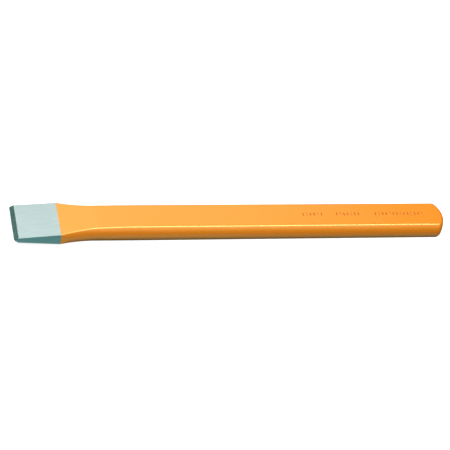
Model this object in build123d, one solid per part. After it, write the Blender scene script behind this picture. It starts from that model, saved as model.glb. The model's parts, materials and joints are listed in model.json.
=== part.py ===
from build123d import *
import os
from math import sqrt

# A flat cold chisel: one forging of chisel steel, lacquered from behind the blade to the head.
# Millimetres. X runs from the cutting edge to the striking head, Y across the width and Z through
# the thickness. The origin is under the middle of the chisel, on the surface that it lies on.

# Overall sizes, over the lacquer
LENGTH = 300.0
SHANK_WIDTH = 26.0
SHANK_THICKNESS = 13.0

# The flat-oval bar
SIDE_RADIUS = 9.5            # the round of its two long sides
CORNER_RADIUS = 2.0          # where a rounded side runs into a broad face

# The blade, on the bare steel
BLADE_EDGE_WIDTH = 32.5      # along the cutting edge
BLADE_BACK_WIDTH = 31.6      # where the lacquer starts
BLADE_BACK_THICKNESS = 8.0   # where the lacquer starts
BEVEL_BACK_THICKNESS = 3.7   # where the two cutting bevels start
BEVEL_LENGTH = 2.9           # measured along the chisel
EDGE_LAND = 0.1              # the keen edge's own thickness
KEEN_CORNER_RADIUS = 0.6     # the +Y end of the cutting edge, seen from above
WORN_CORNER_RADIUS = 1.6     # the -Y end of the cutting edge, ground off more

# The run from blade to shank
SHOULDER_RADIUS = 60.0       # where a blade face rises into the shank's broad face
FLARE_RADIUS = 91.0          # the hollow sweep of each side
FLARE_TURN = 60.0            # how far the sweep is carried on before the blade trims it, in degrees
FACET_DEPTH = 0.85           # how deep the side facets are trimmed, where the lacquer starts

# The head
CROWN_RADIUS = 20.0
HEAD_ROUNDING = 1.8

# The lacquer
LACQUER_START = 30.5         # measured from the cutting edge
LACQUER_FILM = 0.15

# The stamped marks: cells with a bar or two dots each, in three groups along the upper face
MARK_GROUPS = [(102.0, 6), (78.0, 7), (50.0, 14)]   # head's end to the first cell, and cells
MARK_PITCH = 2.6
MARK_HEIGHT = 3.0
MARK_WIDTH = 0.8
MARK_DEPTH = 0.4
DOT_EVERY = 3                # each third cell holds the two dots

REACH = 2 * SHANK_WIDTH      # how far the trimming shapes run past the steel

# Where the flare has run out, and the sides go on straight, measured from the cutting edge
FLARE_RISE = (BLADE_BACK_WIDTH - SHANK_WIDTH) / 2 + LACQUER_FILM + FACET_DEPTH
FLARE_END = LACQUER_START + sqrt(FLARE_RADIUS**2 - (FLARE_RADIUS - FLARE_RISE)**2)


def at_station(distance):
    """The X of a place that lies this far from the cutting edge."""
    return distance - LENGTH / 2


def bar_section(skin):
    """Outline of one rounded side of the bar, with the bar's core carried on past its middle."""
    half_width = SHANK_WIDTH / 2 - LACQUER_FILM + skin
    half_thickness = SHANK_THICKNESS / 2 - LACQUER_FILM + skin
    side_radius = SIDE_RADIUS - LACQUER_FILM + skin
    corner = half_width - side_radius + sqrt(side_radius**2 - half_thickness**2)
    outline = [
        Line((corner, half_thickness), (-REACH, half_thickness)),
        Line((-REACH, half_thickness), (-REACH, -half_thickness)),
        Line((-REACH, -half_thickness), (corner, -half_thickness)),
        ThreePointArc((corner, -half_thickness), (half_width, 0), (corner, half_thickness)),
    ]
    section = make_face(outline)
    corners = section.vertices().filter_by(lambda vertex: vertex.X > 0)
    return fillet(corners, CORNER_RADIUS - LACQUER_FILM + skin)


def flared_side(skin):
    """The bar with its +Y side finished: straight along the shank, then sweeping out to the blade."""
    start = at_station(FLARE_END)
    section = Plane((start, 0, 0), x_dir=(0, 1, 0), z_dir=(1, 0, 0)) * bar_section(skin)
    straight = extrude(section, LENGTH)
    sweep_centre = SHANK_WIDTH / 2 - LACQUER_FILM + FLARE_RADIUS
    flare_axis = Axis((start, sweep_centre, 0), (0, 0, -1))
    return straight + revolve(section, flare_axis, FLARE_TURN)


def thickness_profile(skin):
    """The chisel seen from its side, with its bevels, blade faces and shoulders."""
    half_thickness = SHANK_THICKNESS / 2 - LACQUER_FILM
    bevel = BEVEL_BACK_THICKNESS / 2
    back = BLADE_BACK_THICKNESS / 2
    slope = (back - bevel) / (LACQUER_START - BEVEL_LENGTH)
    shoulder = LACQUER_START + (half_thickness - back) / slope
    upper = [
        (at_station(0), EDGE_LAND / 2),
        (at_station(BEVEL_LENGTH), bevel),
        (at_station(shoulder), half_thickness),
        (at_station(LENGTH) + REACH, half_thickness),
    ]
    lower = [(x, -z) for x, z in reversed(upper)]
    profile = make_face(Polyline(*upper, *lower, close=True))
    shoulders = profile.vertices().filter_by(lambda vertex: abs(vertex.X - at_station(shoulder)) < 0.01)
    profile = fillet(shoulders, SHOULDER_RADIUS)
    if skin:
        profile = offset(profile, skin, kind=Kind.INTERSECTION)
    return extrude(Plane.XZ * profile, REACH, both=True)


def width_profile(skin):
    """The blade seen from above: ground sides, then trimmed facets that aim at the flare's end."""
    upper = [
        (at_station(0), BLADE_EDGE_WIDTH / 2),
        (at_station(LACQUER_START), BLADE_BACK_WIDTH / 2),
        (at_station(FLARE_END), SHANK_WIDTH / 2 - LACQUER_FILM),
        (at_station(FLARE_END), REACH),
        (at_station(LENGTH) + REACH, REACH),
    ]
    lower = [(x, -y) for x, y in reversed(upper)]
    profile = make_face(Polyline(*upper, *lower, close=True))
    for side, radius in ((1, KEEN_CORNER_RADIUS), (-1, WORN_CORNER_RADIUS)):
        edge_end = Vector(at_station(0), side * BLADE_EDGE_WIDTH / 2)
        profile = fillet(profile.vertices().sort_by_distance(edge_end)[0], radius)
    if skin:
        profile = offset(profile, skin, kind=Kind.INTERSECTION)
    return extrude(profile, REACH, both=True)


def crown(skin):
    """The ball whose cap is the struck end of the head."""
    radius = CROWN_RADIUS - LACQUER_FILM + skin
    centre = at_station(LENGTH) - CROWN_RADIUS
    block = Pos(centre - LENGTH, 0, 0) * Box(2 * LENGTH, REACH, REACH)
    return block + Pos(centre, 0, 0) * Sphere(radius)


def mark_pockets(skin):
    """The hollows that the stamps leave, in the upper face, with room for this much lacquer."""
    surface = SHANK_THICKNESS / 2 - LACQUER_FILM + skin
    height = MARK_HEIGHT - 2 * skin
    width = MARK_WIDTH - 2 * skin
    bar = Box(width, height, 2 * MARK_DEPTH)
    dot_offset = (MARK_HEIGHT - MARK_WIDTH) / 2
    dots = [Pos(0, side * dot_offset, 0) * Cylinder(width / 2, 2 * MARK_DEPTH) for side in (-1, 1)]
    pockets = []
    for first, cells in MARK_GROUPS:
        for cell in range(cells):
            place = Pos(at_station(LENGTH - first + cell * MARK_PITCH), 0, surface)
            shapes = dots if cell % DOT_EVERY == 1 else [bar]
            pockets += [place * shape for shape in shapes]
    return pockets


def chisel_body(skin):
    """The whole chisel with this much lacquer on it, centred on its mid-plane."""
    side = flared_side(skin)
    body = side & mirror(side, Plane.XZ)
    body = body & thickness_profile(skin) & width_profile(skin)
    body = body & crown(skin)
    rim = body.edges().filter_by(around_crown)
    body = fillet(rim, HEAD_ROUNDING - LACQUER_FILM + skin)
    return body - mark_pockets(skin)


def around_crown(edge):
    """True for an edge of the rim around the crowned end of the head."""
    return edge.bounding_box().min.X > at_station(LENGTH) - SHANK_WIDTH / 2


def lacquer_coat(steel):
    """The closed film around the shank and the head, open where the bare blade comes out."""
    start = at_station(LACQUER_START)
    coated_length = Pos(start + LENGTH, 0, 0) * Box(2 * LENGTH, 2 * REACH, 2 * REACH)
    return (chisel_body(LACQUER_FILM) & coated_length) - steel


def save(shape, name):
    """Writes one piece, lifted so that the chisel lies on the plane Z = 0."""
    lifted = Pos(0, 0, SHANK_THICKNESS / 2) * shape
    export_step(lifted, f"parts/{name}.step")


os.makedirs("parts", exist_ok=True)
steel_forging = chisel_body(0)
save(steel_forging, "steel_forging")
save(lacquer_coat(steel_forging), "lacquer_coat")
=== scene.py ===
import json
import math
import bmesh
import bpy
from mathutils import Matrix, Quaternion, Vector


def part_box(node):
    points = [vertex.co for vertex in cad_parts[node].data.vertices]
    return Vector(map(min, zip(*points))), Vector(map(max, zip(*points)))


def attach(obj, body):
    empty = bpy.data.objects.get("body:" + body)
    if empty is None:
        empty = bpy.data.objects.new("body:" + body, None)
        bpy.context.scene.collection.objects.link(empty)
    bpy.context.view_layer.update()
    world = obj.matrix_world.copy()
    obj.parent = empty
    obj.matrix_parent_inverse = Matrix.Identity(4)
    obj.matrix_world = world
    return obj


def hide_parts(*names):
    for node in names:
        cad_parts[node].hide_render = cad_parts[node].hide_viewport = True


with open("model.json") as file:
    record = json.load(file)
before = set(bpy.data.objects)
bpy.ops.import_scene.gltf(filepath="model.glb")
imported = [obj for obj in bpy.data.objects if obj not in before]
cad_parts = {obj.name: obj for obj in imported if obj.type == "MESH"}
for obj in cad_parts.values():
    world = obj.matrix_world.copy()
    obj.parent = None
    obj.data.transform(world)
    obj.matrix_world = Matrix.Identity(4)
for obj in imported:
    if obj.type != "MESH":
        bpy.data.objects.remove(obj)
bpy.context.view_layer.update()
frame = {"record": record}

# A flat cold chisel: a steel forging and the lacquer on it. Metres, in the frame of the CAD model:
# X runs from the cutting edge to the struck end, Z is up and the chisel lies on Z = 0.
MM = 0.001

# What the frame gives
mounts = {mount["name"]: Vector(mount["pos_m"]) for mount in frame["record"]["mounts"]}
steel_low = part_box("steel_forging")[0]
coat_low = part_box("lacquer_coat")[0]
EDGE_X = mounts["cutting_edge"].x
HEAD_X = mounts["striking_head"].x
MID_Z = mounts["striking_head"].z
LACQUER_X = coat_low[0]
FILM = steel_low[2] - coat_low[2]

# The flat-oval bar, over the lacquer
HALF_WIDTH = 13.0 * MM
HALF_THICKNESS = MID_Z
SIDE_RADIUS = 9.5 * MM
CORNER_RADIUS = 2.0 * MM
BLADE_CORNER_RADIUS = 0.6 * MM

# The blade, on the bare steel
HALF_EDGE_WIDTH = 16.25 * MM
HALF_BACK_WIDTH = 15.8 * MM
HALF_BACK_THICKNESS = 4.0 * MM
HALF_BEVEL_THICKNESS = 1.85 * MM
BEVEL_LENGTH = 2.9 * MM
HALF_EDGE_LAND = 0.05 * MM
EDGE_CORNER_RADII = {1: 0.6 * MM, -1: 1.6 * MM}   # at the +Y end of the cutting edge, and at the -Y end

# The run from blade to shank
SHOULDER_RADIUS = 60 * MM
FLARE_RADIUS = 91 * MM
FACET_DEPTH = 0.85 * MM
FLARE_RISE = HALF_BACK_WIDTH - HALF_WIDTH + FILM + FACET_DEPTH
FLARE_RUN = math.sqrt(FLARE_RADIUS**2 - (FLARE_RADIUS - FLARE_RISE)**2)
FLARE_X = LACQUER_X + FLARE_RUN

# The head
CROWN_RADIUS = 20 * MM
HEAD_ROUNDING = 1.9 * MM

# Edges as they are left by the forge, the lacquer and the grinding wheel
SOFT_EDGE = 0.55 * MM
GROUND_EDGE = 0.12 * MM
SHARP_ANGLE = math.radians(14)
SMOOTH_ANGLE = math.radians(35)   # edges that turn by less than this are shaded smooth

# The stamped marks: cells with a bar each, or with two dots in every third one
MARK_GROUPS = [(102, 6), (78, 7), (50, 14)]   # head's end to the first cell in mm, and cells
MARK_PITCH = 2.6 * MM
HALF_MARK_HEIGHT = 1.5 * MM
HALF_MARK_WIDTH = 0.4 * MM
MARK_DEPTH = 0.4 * MM
MARK_WALL = 0.75   # how far the sloping walls reach in, as a share of half a mark's width
DOT_EVERY = 3

# The warm cast that the flakes of bronze in the lacquer give its reflections
SHEEN_COLOUR = "#fff8ae"

# The size of the lacquer's faint waves, and of the scratches in the steel
PEEL_SIZE = 2.5 * MM
SCRATCH_LENGTH = 14 * MM
SCRATCH_WIDTH = 0.6 * MM

# The cast that the unlit room has
ROOM_TINT = (0.45, 1.0, 1.0)

# How finely the curved stretches are divided
FLAT_STEPS = 8
CORNER_STEPS = 8
SIDE_STEPS = 12
FLARE_STEPS = 48
EDGE_CORNER_STEPS = 5
SHANK_STEPS = 12
HEAD_STEPS = 8
CROWN_PITCH = 1.0 * MM

# Distances too small to matter, in metres
WELD = 1e-7       # points closer than this become one
ON_PLANE = 1e-8   # a point this near a cutting plane lies on it
NEAR = 1e-6       # a place this near a value counts as there


# ---------------------------------------------------------------- mesh helpers

def cut(bm, point, normal, faces=None, trim=False):
    """Cuts the mesh, or only some faces, along a plane. With trim, what is in front goes and is capped."""
    chosen = faces if faces is not None else bm.faces[:]
    edges = {edge for face in chosen for edge in face.edges}
    verts = {vert for face in chosen for vert in face.verts}
    result = bmesh.ops.bisect_plane(bm, geom=[*chosen, *edges, *verts], dist=ON_PLANE, plane_co=point,
                                    plane_no=normal, clear_outer=trim)
    if trim:
        border = [edge for edge in result["geom_cut"] if isinstance(edge, bmesh.types.BMEdge)]
        bmesh.ops.contextual_create(bm, geom=[edge for edge in border if edge.is_boundary])


def faces_where(bm, test):
    """The faces whose middle passes the test."""
    return [face for face in bm.faces if test(face.calc_center_median(), face.normal)]


def soften(bm, edges, width, segments):
    """Rounds sharp edges over."""
    bmesh.ops.bevel(bm, geom=edges, offset=width, offset_type="OFFSET", segments=segments,
                    profile=0.5, affect="EDGES", clamp_overlap=True, material=-1)
    bmesh.ops.recalc_face_normals(bm, faces=bm.faces)


def make_piece(bm, name):
    """Turns the finished mesh into a piece of the chisel, lifted onto the surface it lies on."""
    bmesh.ops.remove_doubles(bm, verts=bm.verts, dist=WELD)
    bmesh.ops.translate(bm, verts=bm.verts, vec=(0, 0, MID_Z))
    mesh = bpy.data.meshes.new(name)
    bm.to_mesh(mesh)
    bm.free()
    mesh.shade_smooth()
    mesh.set_sharp_from_angle(angle=SMOOTH_ANGLE)
    piece = bpy.data.objects.new(name, mesh)
    bpy.context.collection.objects.link(piece)
    piece.modifiers.new("weighted_normals", "WEIGHTED_NORMAL").keep_sharp = True
    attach(piece, "root")
    return piece


# ---------------------------------------------------------------- the chisel's shape

def bar_outline(bm, skin):
    """Draws the flat-oval section at the cutting edge's X: flats, corner arcs and side arcs."""
    half_width = HALF_WIDTH - FILM + skin
    half_thickness = HALF_THICKNESS - FILM + skin
    side_radius = SIDE_RADIUS - FILM + skin
    corner_radius = CORNER_RADIUS - FILM + skin
    side_centre = Vector((EDGE_X, half_width - side_radius, 0))
    rise = half_thickness - corner_radius
    run = math.sqrt((side_radius - corner_radius)**2 - rise**2)
    corner_centre = side_centre + Vector((0, run, rise))
    side_angle = math.atan2(rise, run)

    flat_end = bm.verts.new((EDGE_X, corner_centre.y, half_thickness))
    corner = bmesh.ops.spin(bm, geom=[flat_end], cent=corner_centre, axis=(-1, 0, 0),
                            angle=math.pi / 2 - side_angle, steps=CORNER_STEPS)
    bmesh.ops.spin(bm, geom=corner["geom_last"], cent=side_centre, axis=(-1, 0, 0),
                   angle=side_angle, steps=SIDE_STEPS)
    middle = bm.verts.new((EDGE_X, 0, half_thickness))
    flat = bm.edges.new((middle, flat_end))
    bmesh.ops.subdivide_edges(bm, edges=[flat], cuts=FLAT_STEPS - 1)
    for axis in ("Z", "Y"):
        bmesh.ops.mirror(bm, geom=[*bm.verts, *bm.edges], axis=axis, merge_dist=WELD)
    bmesh.ops.remove_doubles(bm, verts=bm.verts, dist=WELD)
    return bmesh.ops.contextual_create(bm, geom=bm.edges)["faces"][0]


def turned(angle):
    """The unit vector at this angle in the section, from the width towards the thickness."""
    return Vector((math.cos(angle), math.sin(angle)))


def flare_offset(x):
    """How far the sides stand out from the straight shank at this X."""
    run = max(0.0, FLARE_X - x)
    return FLARE_RADIUS - math.sqrt(FLARE_RADIUS**2 - run**2)


def thickness_at(x):
    """Half the steel's thickness at this X: tapering evenly, then rounding over into the shank."""
    slope = (HALF_BACK_THICKNESS - HALF_BEVEL_THICKNESS) / (LACQUER_X - EDGE_X - BEVEL_LENGTH)
    taper = math.atan(slope)
    full = HALF_THICKNESS - FILM
    arc_end_x = LACQUER_X + (full - HALF_BACK_THICKNESS) / slope + SHOULDER_RADIUS * math.tan(taper / 2)
    to_arc_end = max(0.0, arc_end_x - x)
    if to_arc_end < SHOULDER_RADIUS * math.sin(taper):
        return full - SHOULDER_RADIUS + math.sqrt(SHOULDER_RADIUS**2 - to_arc_end**2)
    return HALF_BACK_THICKNESS + slope * (x - LACQUER_X)


def corner_at(x):
    """The radius between broad face and side at this X: crisp at the blade, soft on the shank."""
    share = max(0.0, min(1.0, (x - LACQUER_X) / FLARE_RUN))
    return BLADE_CORNER_RADIUS + (CORNER_RADIUS - BLADE_CORNER_RADIUS) * share


def taper_and_flare(bm, skin):
    """Thins the bar towards the blade and moves its sides out, keeping flats, corners and sides."""
    full = HALF_THICKNESS - FILM + skin
    side_radius = SIDE_RADIUS - FILM + skin
    corner_radius = CORNER_RADIUS - FILM + skin
    side_centre = Vector((HALF_WIDTH - SIDE_RADIUS, 0))
    side_angle = math.asin((full - corner_radius) / (side_radius - corner_radius))
    corner_centre = side_centre + (side_radius - corner_radius) * turned(side_angle)
    for vert in bm.verts:
        half = thickness_at(vert.co.x) + skin
        if half > full - 1e-9 and flare_offset(vert.co.x) == 0:
            continue
        corner = corner_at(vert.co.x) - FILM + skin
        new_angle = math.asin((half - corner) / (side_radius - corner))
        new_centre = side_centre + (side_radius - corner) * turned(new_angle)
        out = Vector((flare_offset(vert.co.x), 0))
        at = Vector((abs(vert.co.y), abs(vert.co.z)))
        if at.x < corner_centre.x + 1e-9 and at.y > full - 1e-9:
            moved = Vector(((new_centre + out).x * at.x / corner_centre.x, half))
        elif at.y > side_radius * math.sin(side_angle) + 1e-9:
            share = (math.atan2(*(at - corner_centre).yx) - side_angle) / (math.pi / 2 - side_angle)
            moved = new_centre + out + corner * turned(new_angle + share * (math.pi / 2 - new_angle))
        else:
            share = math.atan2(*(at - side_centre).yx) / side_angle
            moved = side_centre + out + side_radius * turned(share * new_angle)
        vert.co.y = math.copysign(moved.x, vert.co.y)
        vert.co.z = math.copysign(moved.y, vert.co.z)


def crown_head(bm, last_ring_x):
    """Sinks the rim of the struck end below its middle, along a ball of the crown's radius."""
    for vert in bm.verts:
        if vert.co.x > last_ring_x - NEAR:
            from_axis = vert.co.y**2 + vert.co.z**2
            vert.co.x -= CROWN_RADIUS - math.sqrt(CROWN_RADIUS**2 - from_axis)


def bar_with_head(skin):
    """The bar from the cutting edge to the crowned head, flared but with nothing ground off."""
    bm = bmesh.new()
    ring = bar_outline(bm, skin).edges[:]
    rounding = HEAD_ROUNDING - FILM + skin
    last_ring_x = HEAD_X - FILM + skin - rounding
    stations = [EDGE_X + (FLARE_X - EDGE_X) * step / FLARE_STEPS for step in range(1, FLARE_STEPS + 1)]
    run_out_x = last_ring_x - 0.4 * HALF_WIDTH
    stations += [FLARE_X + (run_out_x - FLARE_X) * step / SHANK_STEPS for step in range(1, SHANK_STEPS + 1)]
    stations.append(last_ring_x)
    for station in stations:
        grown = bmesh.ops.extrude_edge_only(bm, edges=ring)["geom"]
        ring = [part for part in grown if isinstance(part, bmesh.types.BMEdge)]
        for vert in {vert for edge in ring for vert in edge.verts}:
            vert.co.x = station
    cap = bmesh.ops.contextual_create(bm, geom=ring)["faces"][0]
    bmesh.ops.recalc_face_normals(bm, faces=bm.faces)
    for step in range(HEAD_STEPS):
        now, then = (math.pi / 2 * turn / HEAD_STEPS for turn in (step, step + 1))
        bmesh.ops.inset_region(bm, faces=[cap], use_even_offset=True,
                               thickness=rounding * (math.cos(now) - math.cos(then)),
                               depth=rounding * (math.sin(then) - math.sin(now)))

    def on_cap(middle, normal):
        return middle.x > last_ring_x + rounding - NEAR

    for axis, reach in ((Vector((0, 1, 0)), HALF_WIDTH), (Vector((0, 0, 1)), HALF_THICKNESS)):
        lines = int(reach / CROWN_PITCH)
        for line in range(-lines, lines + 1):
            cut(bm, axis * line * CROWN_PITCH, axis, faces_where(bm, on_cap))
    taper_and_flare(bm, skin)
    crown_head(bm, last_ring_x)
    return bm


def forged_body(skin):
    """The whole chisel with this much lacquer on it: tapered, ground and bevelled, as a closed solid."""
    bm = bar_with_head(skin)
    bevel = math.atan2(HALF_BEVEL_THICKNESS - HALF_EDGE_LAND, BEVEL_LENGTH)
    for up in (1, -1):
        outward = Vector((-math.sin(bevel), 0, math.cos(bevel) * up))
        cut(bm, Vector((EDGE_X, 0, HALF_EDGE_LAND * up)) + skin * outward, outward, trim=True)

    def on_blade_half(middle, normal):
        return middle.x < FLARE_X - FLARE_RUN / 2

    for side in (1, -1):
        narrowing = math.atan2(HALF_EDGE_WIDTH - HALF_BACK_WIDTH, LACQUER_X - EDGE_X)
        outward = Vector((math.sin(narrowing), math.cos(narrowing) * side, 0))
        start = Vector((LACQUER_X, HALF_BACK_WIDTH * side, 0))
        cut(bm, start + skin * outward, outward, faces_where(bm, on_blade_half), trim=True)
        facet = math.atan2(HALF_BACK_WIDTH - HALF_WIDTH + FILM, FLARE_RUN)
        outward = Vector((math.sin(facet), math.cos(facet) * side, 0))
        cut(bm, start + skin * outward, outward, faces_where(bm, on_blade_half), trim=True)
        radius = EDGE_CORNER_RADII[side]
        corner = Vector((EDGE_X + radius, (HALF_EDGE_WIDTH - radius) * side, 0))
        for step in range(1, EDGE_CORNER_STEPS):
            turn = math.pi / 2 * step / EDGE_CORNER_STEPS
            outward = Vector((-math.sin(turn), math.cos(turn) * side, 0))
            cut(bm, corner + (radius + skin) * outward, outward, trim=True)
    bmesh.ops.recalc_face_normals(bm, faces=bm.faces)
    return bm


def stamp_marks(bm, skin):
    """Presses the marks into the upper face: bars and pairs of dots, with sloping walls."""
    surface = HALF_THICKNESS - FILM + skin
    room = FILM - skin
    half_height = HALF_MARK_HEIGHT + room
    half_width = HALF_MARK_WIDTH + room
    first_x = HEAD_X - MARK_GROUPS[0][0] * MM - 2 * half_width
    last_x = HEAD_X - MARK_GROUPS[-1][0] * MM + MARK_GROUPS[-1][1] * MARK_PITCH

    def on_flat(middle, normal):
        return middle.z > surface - NEAR and normal.z > 0.99 and middle.x > FLARE_X + 10 * MM

    def in_zone(middle, normal):
        return on_flat(middle, normal) and first_x < middle.x < last_x

    def in_band(middle, normal):
        return in_zone(middle, normal) and abs(middle.y) < half_height

    bmesh.ops.dissolve_faces(bm, faces=faces_where(bm, on_flat), use_verts=False)
    for x in (first_x, last_x):
        cut(bm, Vector((x, 0, 0)), Vector((1, 0, 0)), faces_where(bm, on_flat))
    for y in (-half_height, half_height):
        cut(bm, Vector((0, y, 0)), Vector((0, 1, 0)), faces_where(bm, in_zone))
    stamped = []
    for first, cells in MARK_GROUPS:
        for cell in range(cells):
            x = HEAD_X - first * MM + cell * MARK_PITCH
            for side in (-1, 1):
                cut(bm, Vector((x + side * half_width, 0, 0)), Vector((1, 0, 0)), faces_where(bm, in_band))
            is_dots = cell % DOT_EVERY == 1

            def in_cell(middle, normal):
                return in_band(middle, normal) and abs(middle.x - x) < half_width

            if is_dots:
                for y in (-half_height / 3, half_height / 3):
                    cut(bm, Vector((0, y, 0)), Vector((0, 1, 0)), faces_where(bm, in_cell))
            stamped += [face for face in faces_where(bm, in_cell)
                        if not is_dots or abs(face.calc_center_median().y) > half_height / 3]
    walls = bmesh.ops.inset_individual(bm, faces=stamped, thickness=MARK_WALL * half_width,
                                       depth=-MARK_DEPTH, use_even_offset=True)["faces"]
    return [*stamped, *walls]


def sharp_edges(bm, low_x):
    """The sharp edges of a solid between this X and a little way past the flare."""
    high_x = FLARE_X + 20 * MM
    return [edge for edge in bm.edges if edge.is_manifold and edge.calc_face_angle() > SHARP_ANGLE
            and all(low_x < vert.co.x < high_x for vert in edge.verts)]


def steel_forging():
    """The forging, bare at the blade, with its ground edges just broken and its bevels a second material."""
    bm = forged_body(0)
    soften(bm, sharp_edges(bm, EDGE_X + 0.5 * BEVEL_LENGTH), GROUND_EDGE, 2)
    stamp_marks(bm, 0)
    # The bevels take a second steel: its cross scratches are real grinding, and its darker, tealer colour is
    # painted shade.
    for face in faces_where(bm, lambda middle, normal: normal.x < -0.3):
        face.material_index = 1
    return make_piece(bm, "steel_blade_and_shank")


def lacquer_coat():
    """The film of lacquer, as a closed skin that ends in an edge of its own behind the blade."""
    bm = forged_body(FILM)
    soften(bm, sharp_edges(bm, EDGE_X + 10 * MM), SOFT_EDGE, 4)
    # The marks' floors and walls take the second, darker lacquer: partly lacquer pooled in them, partly
    # painted shade in the recesses.
    for face in stamp_marks(bm, FILM):
        face.material_index = 1
    bmesh.ops.bisect_plane(bm, geom=[*bm.verts, *bm.edges, *bm.faces], dist=ON_PLANE,
                           plane_co=(LACQUER_X, 0, 0), plane_no=(-1, 0, 0), clear_outer=True)
    bmesh.ops.solidify(bm, geom=bm.faces[:], thickness=FILM)
    return make_piece(bm, "lacquer_skin")


# ---------------------------------------------------------------- materials

def linear(hex_colour):
    """An sRGB hex colour as linear red, green, blue and alpha."""
    channels = [int(hex_colour[at:at + 2], 16) / 255 for at in (1, 3, 5)]
    return [c / 12.92 if c <= 0.04045 else ((c + 0.055) / 1.055)**2.4 for c in channels] + [1.0]


def add(tree, kind, settings=None, links=None):
    """Adds one node, with its settings by attribute or socket name, and links into its sockets."""
    node = tree.nodes.new(kind)
    for name, value in (settings or {}).items():
        if name in node.inputs:
            node.inputs[name].default_value = value
        else:
            setattr(node, name, value)
    for name, source in (links or {}).items():
        tree.links.new(source, node.inputs[name])
    return node


def stoving_lacquer(name, hex_colour):
    """Stoving lacquer, dipped and baked: a smooth, even orange-gold with a soft satin gloss."""
    material = bpy.data.materials.new(name)
    material.use_nodes = True
    tree = material.node_tree
    tree.nodes.clear()
    place = add(tree, "ShaderNodeTexCoord")
    peel = add(tree, "ShaderNodeTexNoise", {"Scale": 1 / PEEL_SIZE, "Detail": 2.0, "Roughness": 0.5},
               {"Vector": place.outputs["Object"]})
    bump = add(tree, "ShaderNodeBump", {"Strength": 0.03, "Distance": 0.3 * MM},
               {"Height": peel.outputs["Fac"]})
    shader = add(tree, "ShaderNodeBsdfPrincipled",
                 {"Base Color": linear(hex_colour), "Roughness": 0.34, "IOR": 2.06,
                  "Specular Tint": linear(SHEEN_COLOUR)},
                 {"Normal": bump.outputs["Normal"]})
    add(tree, "ShaderNodeOutputMaterial", links={"Surface": shader.outputs["BSDF"]})
    return material


def ground_steel(name, hex_colour, turn, contrast):
    """Chisel steel straight from the belt: bright grey with a cool cast, in fine parallel scratches."""
    material = bpy.data.materials.new(name)
    material.use_nodes = True
    tree = material.node_tree
    tree.nodes.clear()
    place = add(tree, "ShaderNodeTexCoord")
    along = add(tree, "ShaderNodeMapping",
                {"vector_type": "TEXTURE", "Rotation": (0, 0, math.radians(turn)),
                 "Scale": (SCRATCH_LENGTH, SCRATCH_WIDTH, SCRATCH_WIDTH)},
                {"Vector": place.outputs["Object"]})
    scratches = add(tree, "ShaderNodeTexNoise", {"Scale": 1.0, "Detail": 3.0, "Roughness": 0.6},
                    {"Vector": along.outputs["Vector"]})
    shade = add(tree, "ShaderNodeMapRange", {"From Min": 0.3, "From Max": 0.7, "To Min": 1.0 - contrast,
                                             "To Max": 1.0},
                {"Value": scratches.outputs["Fac"]})
    colour = add(tree, "ShaderNodeMix", {"data_type": "RGBA", "blend_type": "MULTIPLY"})
    colour.inputs["Factor"].default_value = 1.0
    first_colour, second_colour, mixed = colour.inputs[6], colour.inputs[7], colour.outputs[2]
    first_colour.default_value = linear(hex_colour)
    tree.links.new(shade.outputs["Result"], second_colour)
    bump = add(tree, "ShaderNodeBump", {"Strength": 0.2, "Distance": 0.1 * MM},
               {"Height": scratches.outputs["Fac"]})
    shader = add(tree, "ShaderNodeBsdfPrincipled", {"Metallic": 1.0, "Roughness": 0.38},
                 {"Base Color": mixed, "Normal": bump.outputs["Normal"]})
    add(tree, "ShaderNodeOutputMaterial", links={"Surface": shader.outputs["BSDF"]})
    return material


def opal_acrylic():
    """Opal acrylic lit from below, as on a light table: white, with only a trace of a shadow on it."""
    material = bpy.data.materials.new("opal_acrylic_light_table")
    material.use_nodes = True
    shader = material.node_tree.nodes["Principled BSDF"]
    shader.inputs["Base Color"].default_value = linear("#9a9a9a")
    shader.inputs["Roughness"].default_value = 0.9
    shader.inputs["Emission Color"].default_value = linear("#ffffff")
    shader.inputs["Emission Strength"].default_value = 0.8
    return material


# ---------------------------------------------------------------- stage, light and camera

def pale_floor():
    """A plain pale floor under the chisel."""
    bm = bmesh.new()
    bmesh.ops.create_grid(bm, x_segments=1, y_segments=1, size=6.0)
    mesh = bpy.data.meshes.new("floor")
    bm.to_mesh(mesh)
    bm.free()
    floor = bpy.data.objects.new("floor", mesh)
    bpy.context.collection.objects.link(floor)
    mesh.materials.append(opal_acrylic())
    floor.visible_glossy = False
    floor.visible_diffuse = False
    floor.visible_shadow = False


def softbox(name, centre, size, brightness, tint=(1, 1, 1), mirrored=True):
    """A soft light of even brightness, in W per sr and m2, turned to face the chisel.

    One that isn't mirrored lights the lacquer, and leaves no glare on the steel from above or behind.
    """
    light = bpy.data.lights.new(name, "AREA")
    light.shape = "RECTANGLE"
    light.size, light.size_y = size
    light.color = tint
    light.energy = brightness * math.pi * light.size * light.size_y
    lamp = bpy.data.objects.new(name, light)
    lamp.location = Vector(centre)
    lamp.rotation_mode = "QUATERNION"
    lamp.rotation_quaternion = Vector(centre).to_track_quat("Z", "Y")
    lamp.visible_camera = False
    lamp.visible_glossy = mirrored
    bpy.context.collection.objects.link(lamp)


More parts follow.
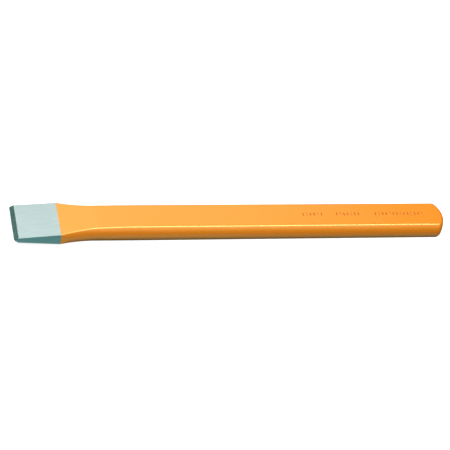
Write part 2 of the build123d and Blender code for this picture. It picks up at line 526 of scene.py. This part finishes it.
def studio_light():
    """Soft boxes above, behind and in front of the chisel, in a dim room with a blue-green cast."""
    world = bpy.data.worlds.new("studio")
    world.use_nodes = True
    background = world.node_tree.nodes["Background"]
    background.inputs["Color"].default_value = (*ROOM_TINT, 1)
    background.inputs["Strength"].default_value = 0.035
    bpy.context.scene.world = world
    softbox("rear_softbox", (0.17, 1.14, 1.05), (0.85, 1.2), 1.27)
    softbox("high_rear_softbox", (-0.3, 0.55, 1.35), (0.6, 0.4), 5.0)
    softbox("blade_softbox", (-0.5, 0.75, 1.25), (0.5, 0.5), 6.0)
    softbox("overhead_softbox", (-0.3, 0.25, 1.4), (1.1, 0.6), 7.0, mirrored=False)
    softbox("overhead_sheen", (-0.3, 0.25, 1.4), (1.1, 0.6), 1.2)
    softbox("side_softbox", (-0.75, 0.0, 1.15), (0.8, 0.8), 1.5)
    softbox("front_strip", (0.3, -0.72, 1.12), (1.04, 0.6), 12.5)
    softbox("front_strip_fill", (-0.43, -0.72, 1.12), (0.34, 0.4), 16.0, mirrored=False)
    softbox("front_softbox", (-0.5, -0.8, 0.9), (0.5, 0.5), 2.5, mirrored=False)
    softbox("front_fill", (0.0, -1.0, 0.3), (1.2, 0.4), 0.9)
    softbox("blade_fill", (-1.2, 0.3, 0.5), (0.6, 0.6), 1.6)
    softbox("bevel_fill", (-0.95, 1.0, 0.75), (0.6, 0.6), 0.29, ROOM_TINT)
    softbox("table_glow", (0.05, -0.22, -0.4), (0.9, 0.3), 0.43, ROOM_TINT)
    softbox("blade_glow", (-0.05, -0.45, -0.4), (0.5, 0.2), 0.46, ROOM_TINT)
    bpy.context.scene.view_settings.view_transform = "Standard"


def camera():
    """A long lens from above the near side, turned so that the chisel lies level in the view."""
    aim = Vector((-6.4 * MM, -3.1 * MM, MID_Z))
    distance = 1172.8 * MM
    azimuth, elevation, roll = (math.radians(angle) for angle in (19.52, 40.90, 12.56))
    forward = Vector((math.sin(azimuth) * math.cos(elevation), math.cos(azimuth) * math.cos(elevation),
                      -math.sin(elevation)))
    data = bpy.data.cameras.new("camera")
    data.lens = 139.4
    data.clip_start = 0.01
    eye = bpy.data.objects.new("camera", data)
    eye.location = aim - forward * distance
    eye.rotation_mode = "QUATERNION"
    eye.rotation_quaternion = forward.to_track_quat("-Z", "Y") @ Quaternion((0, 0, 1), roll)
    bpy.context.collection.objects.link(eye)
    bpy.context.scene.camera = eye


camera()
studio_light()
pale_floor()

forging = steel_forging()
forging.data.materials.append(ground_steel("belt_ground_steel", "#aabbb9", 0, 0.15))
# The bevels' steel is darker and tealer than the face's as painted shade; its coarser cross scratches are
# real grinding.
forging.data.materials.append(ground_steel("bevel_steel_painted_shade", "#9ac0b6", 55, 0.6))
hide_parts("steel_forging")

coat = lacquer_coat()
coat.data.materials.append(stoving_lacquer("orange_gold_stoving_lacquer", "#b7660a"))
# The darker lacquer in the marks is partly pooled lacquer and partly painted shade in the recesses.
coat.data.materials.append(stoving_lacquer("pooled_lacquer_and_painted_shade_in_marks", "#8c4208"))
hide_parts("lacquer_coat")
